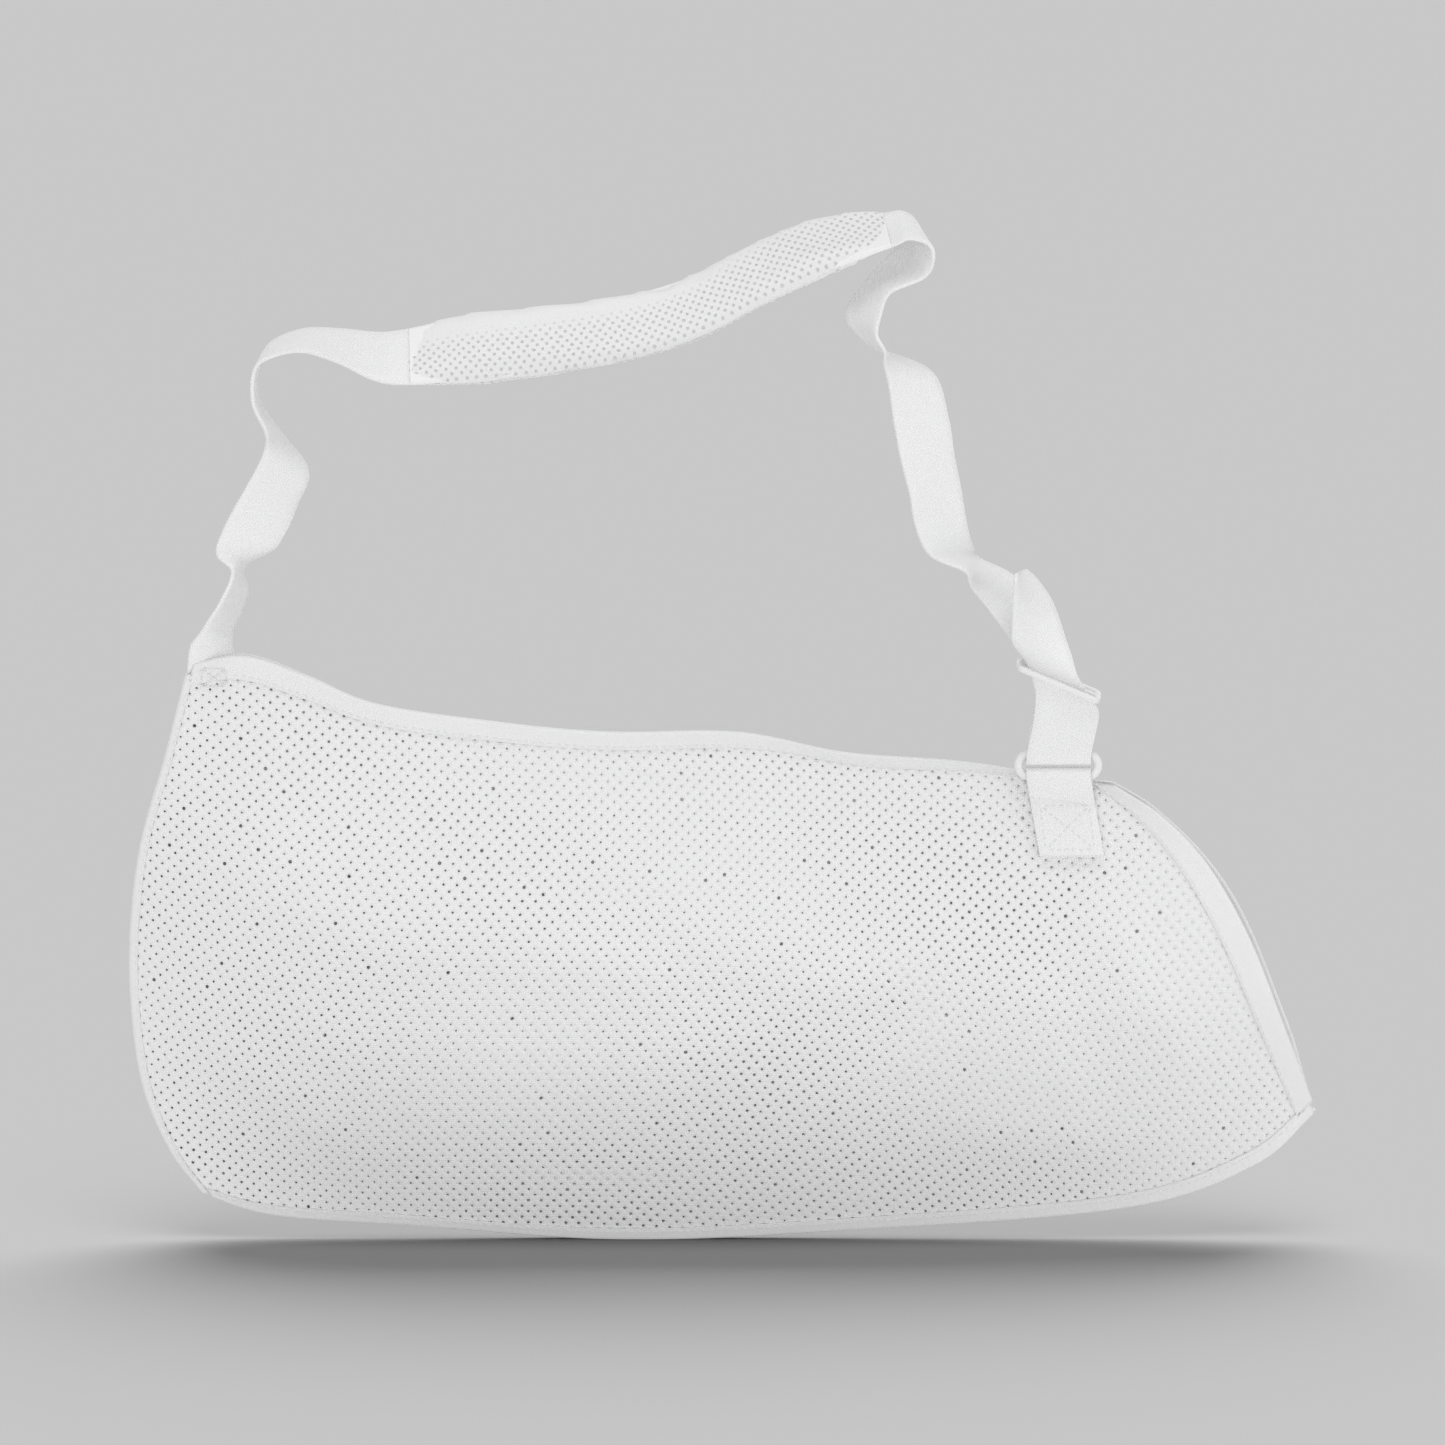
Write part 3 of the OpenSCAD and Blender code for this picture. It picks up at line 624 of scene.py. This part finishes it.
# ---- stitching ----
def stitches(name, lines, body, replaced, pitch=3.2, radius=0.24):
    """Rows of thread loops. A line is (points, outward normals); a stitch rises out and dips back in."""
    verts, faces, uvs = [], [], []
    for points, normals in lines:
        run = lengths(points)
        count = max(2, int(run[-1] / pitch))
        for k in range(count):
            stations = (k + np.array([0.12, 0.3, 0.5, 0.7, 0.88])) * run[-1] / count
            mid = np.stack([np.interp(stations, run, points[:, a]) for a in range(3)], -1)
            out = unit(np.stack([np.interp(stations, run, normals[:, a]) for a in range(3)], -1))
            mid = mid + out * (np.array([-0.3, 0.1, 0.2, 0.1, -0.3]))[:, None]
            ahead = unit(np.gradient(mid, axis=0))
            sideways = np.cross(ahead, out)
            first = len(verts)
            for i in range(5):
                for a in range(0, 360, 60):
                    c, s = math.cos(math.radians(a)), math.sin(math.radians(a))
                    verts.append(mid[i] + radius * (c * sideways[i] + s * out[i]))
                    uvs.append((a / 360 * 1.5, stations[i]))
            faces += lofted(np.zeros((5, 6, 3)), start_index=first)
    obj = add_object(name, np.array(verts), faces, THREAD, np.array(uvs), body=body)
    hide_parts(replaced)
    return obj


def seam_line(place, ts, s, off):
    points = place(ts, s, off)
    above = place(ts, s, off + 1)
    return points, unit(above - points)


OVER = KNIT_T + 0.1 + TAPE_T
for side, tag, start in ((-1, "front", 0.095), (1, "back", 0.055)):
    ts = np.linspace(start, BINDING_END - 0.006, 300)
    line = seam_line(top_place(side), ts, BINDING_W - 1.3, OVER)
    stitches(tag + "_binding_stitch", [line], "pouch", tag + "_binding_stitches", radius=0.2)
    ts = np.linspace(0.03, 0.99, 120)
    line = seam_line(hand_place(side), ts, hem_width(ts) - 1.3, OVER)
    stitches(tag + "_hem_stitch", [line], "pouch", tag + "_hem_stitches")

lines = []
for side in (-1, 1):
    ts = np.linspace(0.03, 0.99, 300)
    lines.append(seam_line(lambda t, s, off: bottom_place(side, t, s, off), ts, SEAM_W - 1.3, OVER))
stitches("bottom_stitch", lines, "pouch", "bottom_seam_stitches")
lines = []
for side in (-1, 1):
    ts = np.linspace(0.01, 0.95, 200)
    lines.append(seam_line(lambda t, s, off: elbow_place(side, t, s, off), ts, SEAM_W - 1.3, OVER))
stitches("elbow_stitch", lines, "pouch", "elbow_seam_stitches")


# ---- webbing ----
def across_of(run):
    a, t = np.radians(run[:, 3]), np.radians(run[:, 4])
    return np.stack([np.cos(t) * np.cos(a), np.sin(t), np.cos(t) * np.sin(a)], -1)


def web_frames(run, ts):
    """Middle points, width directions and normals along a run of stations."""
    run = np.asarray(run, float)
    middle = along(run[:, :3], ts)
    width = unit(along(across_of(run), ts))
    ahead = along(run[:, :3], ts + 0.0005) - along(run[:, :3], ts - 0.0005)
    return middle, width, unit(np.cross(ahead, width))


ACROSS = np.linspace(-0.5, 0.5, 9)


def web_grid(middle, width, widths=WEB_W):
    w = np.broadcast_to(np.asarray(widths, float), (len(middle),))
    return middle[:, None] + width[:, None] * (ACROSS[None, :, None] * w[:, None, None])


def split_t(station):
    return station / MAIN_LAST


mid_pad = (PAD_FIRST + PAD_LAST) / 2

# Elbow side: from between the panels, pleated, up to the middle of the pad.
ts = np.linspace(0, split_t(mid_pad), 260)
middle, width, _ = web_frames(MAIN_RUN, ts)
SEWN_W = 19.3
SEWN_FOOT = np.array([-172.3, 0, -135.0])
SEWN_ROWS = 14
down = np.linspace(1, 0, SEWN_ROWS, endpoint=False)[:, None]
sewn = middle[0] + (SEWN_FOOT - middle[0]) * ease(down)
sewn_width = unit(width[0] + (np.array([0.9986, 0, 0.05]) - width[0]) * ease(down * 1.4))
wide = np.concatenate([np.full(SEWN_ROWS, SEWN_W), SEWN_W + (WEB_W - SEWN_W) * ease(lengths(middle) / 14)])
grid = web_grid(np.vstack([sewn, middle]), np.vstack([sewn_width, width]), wide)
strap_elbow = strip("neck_strap_elbow", grid, WEB_T, WEBBING, None)
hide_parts("strap_sewn_end", "neck_strap_elbow_side", "neck_strap_in_pad")
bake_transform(strap_elbow)

# Hand side: out of the pad, down through the slider, round the ring, back up through it, to the free end.
ts = np.linspace(split_t(mid_pad), split_t(MAIN_LAST), 330)
middle, width, _ = web_frames(MAIN_RUN, ts)
turn = np.radians(np.arange(15, 180, 15))
turn_mid = RING_BAR + np.stack([0 * turn, LEG_R * np.cos(turn), -LEG_R * np.sin(turn)], -1)
turn_width = np.tile(width[-1], (len(turn), 1))
back_up = np.linspace(split_t(MAIN_LAST), split_t(DROP_FIRST), 26)
leg_mid, leg_width, _ = web_frames(MAIN_RUN, back_up)
leg_mid[:, 1] = RING_Y - LEG_R
start = MAIN_RUN[DROP_FIRST].copy()
start[1] = RING_Y - LEG_R
tail_ts = np.linspace(0, 1, 80)[1:]
tail_mid, tail_width, _ = web_frames(np.vstack([start, TAIL_RUN]), tail_ts)
hand_mid = np.vstack([middle, turn_mid, leg_mid, tail_mid])
to_end = lengths(hand_mid)[-1] - lengths(hand_mid)
TAIL_ROUND = 5
rounding = np.sqrt(1 - (1 - np.clip(to_end / TAIL_ROUND, 0, 1)) ** 2)
hand_width = np.vstack([width, turn_width, leg_width, tail_width])
grid = web_grid(hand_mid, hand_width, WEB_W - 1.6 * TAIL_ROUND * (1 - rounding))
strap_hand = strip("neck_strap_hand", grid, WEB_T, WEBBING, "neck_strap")
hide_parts("neck_strap_hand_side", "adjuster_loop", "strap_tail")

# Two rows of stitches across the free end.
lines = []
for t in (0.93, 0.97):
    c, w, n = (part[0] for part in web_frames(TAIL_RUN, np.array([t])))
    across_run = np.linspace(-10.5, 10.5, 12)[:, None]
    lines.append((c + across_run * w + n * (WEB_T / 2), np.tile(n, (12, 1))))
stitches("tail_end_stitch", lines, "neck_strap", "tail_end_stitches", pitch=2.6)

# ---- ring tab ----
TAB_TOP = np.array([163.5, RING_LOWER_Z])
TAB_FOOT = np.array([169.0, -196.0])


def panel_face(x, z):
    bound = z > top_z(x) - BINDING_W - 1
    return -(SEAM_GAP / 2 + stand(-1, x, z) + KNIT_T + np.where(bound, 0.15 + TAPE_T, 0))


def tab_leg(ts, layer):
    """Rows of the tab's middle surface on one of its two legs."""
    centre = TAB_TOP + (TAB_FOOT - TAB_TOP) * ts[:, None]
    x = centre[:, 0][:, None] + ACROSS[None, :] * WEB_W
    z = np.repeat(centre[:, 1][:, None], len(ACROSS), 1)
    face = panel_face(x, np.minimum(z, top_z(x))) - 0.4 - 0.8 - layer * 1.8
    loop_y = RING_Y + (TAB_R if layer == 0 else -TAB_R)
    y = loop_y + (face - loop_y) * ease(ts[:, None] / 0.35)
    return np.stack([x, y, z], -1)


leg_ts = np.linspace(1, 0.02, 30)
over = np.radians(np.arange(0, 181, 15))
over_mid = np.stack([np.full(len(over), TAB_TOP[0]), RING_Y + TAB_R * np.cos(over),
                     RING_LOWER_Z + TAB_R * np.sin(over)], -1)
over_grid = over_mid[:, None] + np.array([1.0, 0, 0]) * (ACROSS[None, :, None] * WEB_W)
grid = np.concatenate([tab_leg(leg_ts, 0), over_grid, tab_leg(leg_ts[::-1], 1)], axis=0)
tab = strip("ring_tab_webbing", grid, 1.4, WEBBING, "pouch")
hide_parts("ring_tab")


def box_lines(corners, surface):
    lines = []
    for a, b in ((0, 1), (1, 2), (2, 3), (3, 0), (0, 2), (1, 3)):
        s = np.linspace(0.04, 0.96, 24)[:, None]
        flat = corners[a] + (corners[b] - corners[a]) * s
        points = surface(flat)
        lines.append((points, np.tile((0.0, -1.0, 0.0), (24, 1))))
    return lines


def tab_front(flat):
    face = panel_face(flat[:, 0], np.minimum(flat[:, 1], top_z(flat[:, 0]))) - 0.4 - 1.5 - 1.8
    return np.stack([flat[:, 0], face - 0.05, flat[:, 1]], -1)


TAB_BOX = np.array([(158.5, -193), (178, -193), (176, -176), (156.5, -176.0)])
stitches("tab_stitch", box_lines(TAB_BOX, tab_front),
         "pouch", "tab_stitches", pitch=2.6)


def corner_front(flat):
    return np.stack([flat[:, 0], panel_face(flat[:, 0], flat[:, 1]) - 0.6, flat[:, 1]], -1)


stitches("corner_stitch", box_lines(np.array([(-177.0, -129), (-167, -129), (-167, -122), (-177, -122)]),
                                    corner_front), "pouch", "corner_tack", pitch=2.2)

# ---- shoulder pad: a foam-filled sleeve, swollen by a short cloth simulation ----
PAD_CAP = 2.2                                   # how far a point of the sleeve may swell
PAD_VOXEL = 3.2
PAD_PRESSURE = 4.0


def oval(w, h, count=28):
    a = (np.arange(count) + 0.5) * 2 * math.pi / count
    run = (w - h) / 2
    return np.stack([h / 2 * np.cos(a) + np.where(np.cos(a) > 0, run, -run), h / 2 * np.sin(a)], -1)


def sleeve_rows(w, h, ts, wide, thick, count=28):
    """Rows of an oval tube along the strap; wide and thick scale each row."""
    middle, width, normal = web_frames(MAIN_RUN, ts)
    section = oval(w, h, count)
    return (middle[:, None] + width[:, None] * section[None, :, :1] * wide[:, None, None]
            + normal[:, None] * section[None, :, 1:] * thick[:, None, None])


PAD_ROWS = 72
pad_ts = np.linspace(split_t(PAD_FIRST), split_t(PAD_LAST), PAD_ROWS)
from_elbow = np.arange(PAD_ROWS)
from_hand = from_elbow[::-1]
# The elbow end has round shoulders and the hand end is gathered; both thin down to the strap.
pad_wide = (0.84 + 0.16 * ease(from_elbow / 13)) * (0.70 + 0.30 * ease(from_hand / 15))
pad_thick = (0.45 + 0.55 * ease(from_elbow / 11) ** 0.6) * (0.5 + 0.5 * ease(from_hand / 9) ** 0.6)
start_w, start_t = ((PAD_W - 1.0, PAD_T - 2.4))
rows = sleeve_rows(start_w, start_t, pad_ts, pad_wide, pad_thick)
pad = add_object("pad_sleeve", rows.reshape(-1, 3), lofted(rows), PAD_KNIT)


def swell_up(obj, voxel, pressure, cap, frames=20):
    """Remeshes a closed form, lets cloth pressure puff it up, and keeps the result."""
    bpy.context.view_layer.objects.active = obj
    remesh = obj.modifiers.new("remesh", "REMESH")
    remesh.mode = "VOXEL"
    remesh.voxel_size = voxel
    bpy.ops.object.modifier_apply(modifier=remesh.name)
    before = np.array([v.co[:] for v in obj.data.vertices])
    cloth = obj.modifiers.new("cloth", "CLOTH")
    cloth.settings.use_pressure = True
    cloth.settings.uniform_pressure_force = pressure
    cloth.settings.effector_weights.gravity = 0
    cloth.settings.tension_stiffness = 20
    cloth.settings.bending_stiffness = 0.6
    scene = bpy.context.scene
    cloth.point_cache.frame_start = 1
    cloth.point_cache.frame_end = frames
    for f in range(1, frames + 1):
        scene.frame_set(f)
    shaped = obj.evaluated_get(bpy.context.evaluated_depsgraph_get()).data
    after = np.array([v.co[:] for v in shaped.vertices])
    obj.modifiers.remove(cloth)
    scene.frame_set(1)
    move = after - before
    far = np.linalg.norm(move, axis=1, keepdims=True)
    move *= np.minimum(1, cap / np.maximum(far, 1e-9))
    obj.data.vertices.foreach_set("co", (before + move).ravel())
    obj.data.update()
    smooth = obj.modifiers.new("smooth", "SUBSURF")
    smooth.levels = smooth.render_levels = 1
    bpy.ops.object.modifier_apply(modifier=smooth.name)


swell_up(pad, PAD_VOXEL * MM, PAD_PRESSURE, PAD_CAP * MM)

# Where each point of the pad lies along the strap and across it, for its ends and its pattern.
verts = np.array([v.co[:] for v in pad.data.vertices]) / MM
fine_ts = np.linspace(split_t(PAD_FIRST) - 0.01, split_t(PAD_LAST) + 0.01, 400)
fine_mid, fine_width, _ = web_frames(MAIN_RUN, fine_ts)
nearest = np.argmin(((verts[:, None] - fine_mid[None]) ** 2).sum(-1), axis=1)
offset = verts - fine_mid[nearest]
along_pad = lengths(fine_mid)[nearest]
local_w = (offset * fine_width[nearest]).sum(-1)
# A slight pinch in the upper edge, where the sleeve bends.
PINCH_X = 3.5
PINCH_DEPTH = 1.7
PINCH_SPREAD = 6
pinch = PINCH_DEPTH * np.exp(-((verts[:, 0] - PINCH_X - 0.3 * local_w) / PINCH_SPREAD) ** 2)
pinch = pinch * ease((local_w - 2) / 10)
verts = verts - pinch[:, None] * fine_width[nearest]
mesh = pad.data
mesh.vertices.foreach_set("co", (verts * MM).ravel())
layer = mesh.uv_layers.get("UVMap") or mesh.uv_layers.new(name="UVMap")
loop_index = np.empty(len(mesh.loops), int)
mesh.loops.foreach_get("vertex_index", loop_index)
layer.data.foreach_set("uv", (np.stack([local_w, along_pad], -1) * MM)[loop_index].ravel())
# How much of the dimple bump and its painted shade each point of the pad carries.
share = ease((9 - local_w + 6 * ease((along_pad - 120) / 60)) / 9)
attribute = mesh.attributes.new("mesh_share", "FLOAT", "POINT")
attribute.data.foreach_set("value", share)
mesh.polygons.foreach_set("use_smooth", [True] * len(mesh.polygons))
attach(pad, "shoulder_pad")
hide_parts("pad_cover", "pad_foam")

# Lining: the smooth tunnel that the strap runs in, inside the sleeve.
TUNNEL_W = 26.4
TUNNEL_T = 3.4
TUNNEL_ROWS = 60
near_end = np.minimum(np.arange(TUNNEL_ROWS), np.arange(TUNNEL_ROWS)[::-1])
tunnel_wide = 0.98 + 0.02 * ease(near_end / 11)
tunnel_thick = 0.76 + 0.24 * ease(near_end / 9)
tunnel_ts = np.linspace(split_t(PAD_FIRST) + 0.0042, split_t(PAD_LAST) - 0.0027, TUNNEL_ROWS)
rows = sleeve_rows(TUNNEL_W, TUNNEL_T, tunnel_ts, tunnel_wide, tunnel_thick)
lining = add_object("pad_tunnel", rows.reshape(-1, 3), lofted(rows, caps=False), TAPE,
                    body="shoulder_pad")
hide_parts("pad_lining")

# Seam along the pad's lower edge, wherever the swollen sleeve's edge has come to lie.
seam_ts = np.linspace(split_t(PAD_FIRST + 0.35), split_t(PAD_LAST - 0.35), 200)
seam_mid, seam_width, _ = web_frames(MAIN_RUN, seam_ts)
seam_place = np.interp(seam_ts, fine_ts, lengths(fine_mid))
marks = np.arange(0, lengths(fine_mid)[-1], 5.0)
lower = np.array([local_w[np.abs(along_pad - mark) < 4].min(initial=-PAD_W / 2 + 6) for mark in marks])
seam_edge = np.interp(seam_place, marks, lower)[:, None] + 0.1
stitches("pad_seam_stitch", [(seam_mid + seam_width * seam_edge, -seam_width)], "shoulder_pad",
         "pad_seam_stitches", pitch=3, radius=0.18)

# ---- slider: three bars moulded in one, with rounded edges ----
SLIDER_AT = Vector((163.5, RING_Y, -126)) * MM
SLIDER_LEAN = math.radians(23)
SLIDER_NOD = math.radians(8)
SLIDER_T = 2.2
SLIDER_ROUND = 0.8
# Lines across and along the slider, between which its bars and windows lie.
BAR_SPANS = [-9.0, -5.9, -1.5, 1.5, 5.9, 9.0]
END_SPANS = [-18, -15.7, -7, 0, 7, 15.7, 18]


def moulded_slider():
    builder = bmesh.new()
    grid = {}
    for i, x in enumerate(END_SPANS):
        for j, y in enumerate(BAR_SPANS):
            corner = i in (0, 6) and j in (0, 5)
            pull = 0.94 if corner else 1.0
            grid[i, j] = builder.verts.new((x * pull * MM, y * pull * MM, -SLIDER_T / 2 * MM))
    for i in range(6):
        for j in range(5):
            if j in (1, 3) and 1 <= i <= 4:
                continue
            builder.faces.new((grid[i, j], grid[i + 1, j], grid[i + 1, j + 1], grid[i, j + 1]))
    base = list(builder.faces)
    raised = bmesh.ops.extrude_face_region(builder, geom=base)
    top = [v for v in raised["geom"] if isinstance(v, bmesh.types.BMVert)]
    bmesh.ops.translate(builder, verts=top, vec=(0, 0, SLIDER_T * MM))
    bmesh.ops.recalc_face_normals(builder, faces=builder.faces)
    sharp = [e for e in builder.edges if len(e.link_faces) == 2 and e.calc_face_angle() > 0.6]
    bmesh.ops.bevel(builder, geom=sharp, offset=SLIDER_ROUND * MM, segments=4, profile=0.5, affect="EDGES")
    mesh = bpy.data.meshes.new("slider_moulding")
    builder.to_mesh(mesh)
    builder.free()
    mesh.polygons.foreach_set("use_smooth", [True] * len(mesh.polygons))
    obj = bpy.data.objects.new("slider_moulding", mesh)
    bpy.context.scene.collection.objects.link(obj)
    turn = Matrix.Rotation(SLIDER_LEAN, 4, "Y") @ Matrix.Rotation(SLIDER_NOD, 4, "X")
    mesh.transform(Matrix.Translation(SLIDER_AT) @ turn)
    mesh.materials.append(PLASTIC)
    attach(obj, "strap_slider")
    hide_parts("slider")


moulded_slider()

# ---- ring: the frame's own shape with a moulded plastic finish ----
ring_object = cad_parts["ring"]
ring_object.data.materials.clear()
ring_object.data.materials.append(PLASTIC)

# ---- floor and light ----
# The sky is as bright as the lit floor, so the two meet without a line.
SKY = 0.578
FLOOR_Z = -0.3512
FLOOR_REACH = 300
FLOOR_TONE = 0.12
stage_mesh = bpy.data.meshes.new("floor")
corners = [(sx * FLOOR_REACH, sy * FLOOR_REACH, FLOOR_Z) for sx, sy in ((-1, -1), (1, -1), (1, 1), (-1, 1))]
stage_mesh.from_pydata(corners, [], [(0, 1, 2, 3)])
floor = bpy.data.objects.new("floor", stage_mesh)
bpy.context.scene.collection.objects.link(floor)
stage_mesh.materials.append(Shader("floor", (FLOOR_TONE,) * 3, 1.0, specular=0.0).material)

world = bpy.data.worlds.new("world")
world.use_nodes = True
world.node_tree.nodes["Background"].inputs[0].default_value = (SKY, SKY, SKY, 1)
world.node_tree.nodes["Background"].inputs[1].default_value = 1.0
bpy.context.scene.world = world


pieces = [obj for obj in bpy.context.scene.objects if obj.type in ("MESH", "CURVE") and obj is not floor]


def soft_sun(name, towards, strength, spread, receivers):
    """A broad sun that lights only its receivers; the sling casts its shadows."""
    data = bpy.data.lights.new(name, "SUN")
    data.energy = strength
    data.angle = math.radians(spread)
    obj = bpy.data.objects.new(name, data)
    obj.rotation_euler = Vector(towards).to_track_quat("-Z", "Y").to_euler()
    bpy.context.scene.collection.objects.link(obj)
    lit = bpy.data.collections.new(name + "_lit")
    shading = bpy.data.collections.new(name + "_shading")
    for receiver in receivers:
        lit.objects.link(receiver)
    for piece in pieces:
        shading.objects.link(piece)
    obj.light_linking.receiver_collection = lit
    obj.light_linking.blocker_collection = shading


soft_sun("floor_back", (0.0, -0.8, -1.0), 12.8, 60, [floor])
soft_sun("floor_front", (0.0, 0.45, -1.0), 3.65, 40, [floor])
soft_sun("overhead", (0.02, 0.1, -1.0), 0.85, 60, pieces)
soft_sun("front", (0.1, 1.0, 0.3), 0.92, 60, pieces)
soft_sun("bounce", (0.0, 0.5, 1.0), 0.5, 60, pieces)
soft_sun("hand_side", (-1.0, 0.6, 0.2), 0.5, 60, pieces)
soft_sun("rear", (0.0, -1.0, 0.1), 0.6, 60, pieces)
bpy.context.scene.view_settings.view_transform = "Standard"
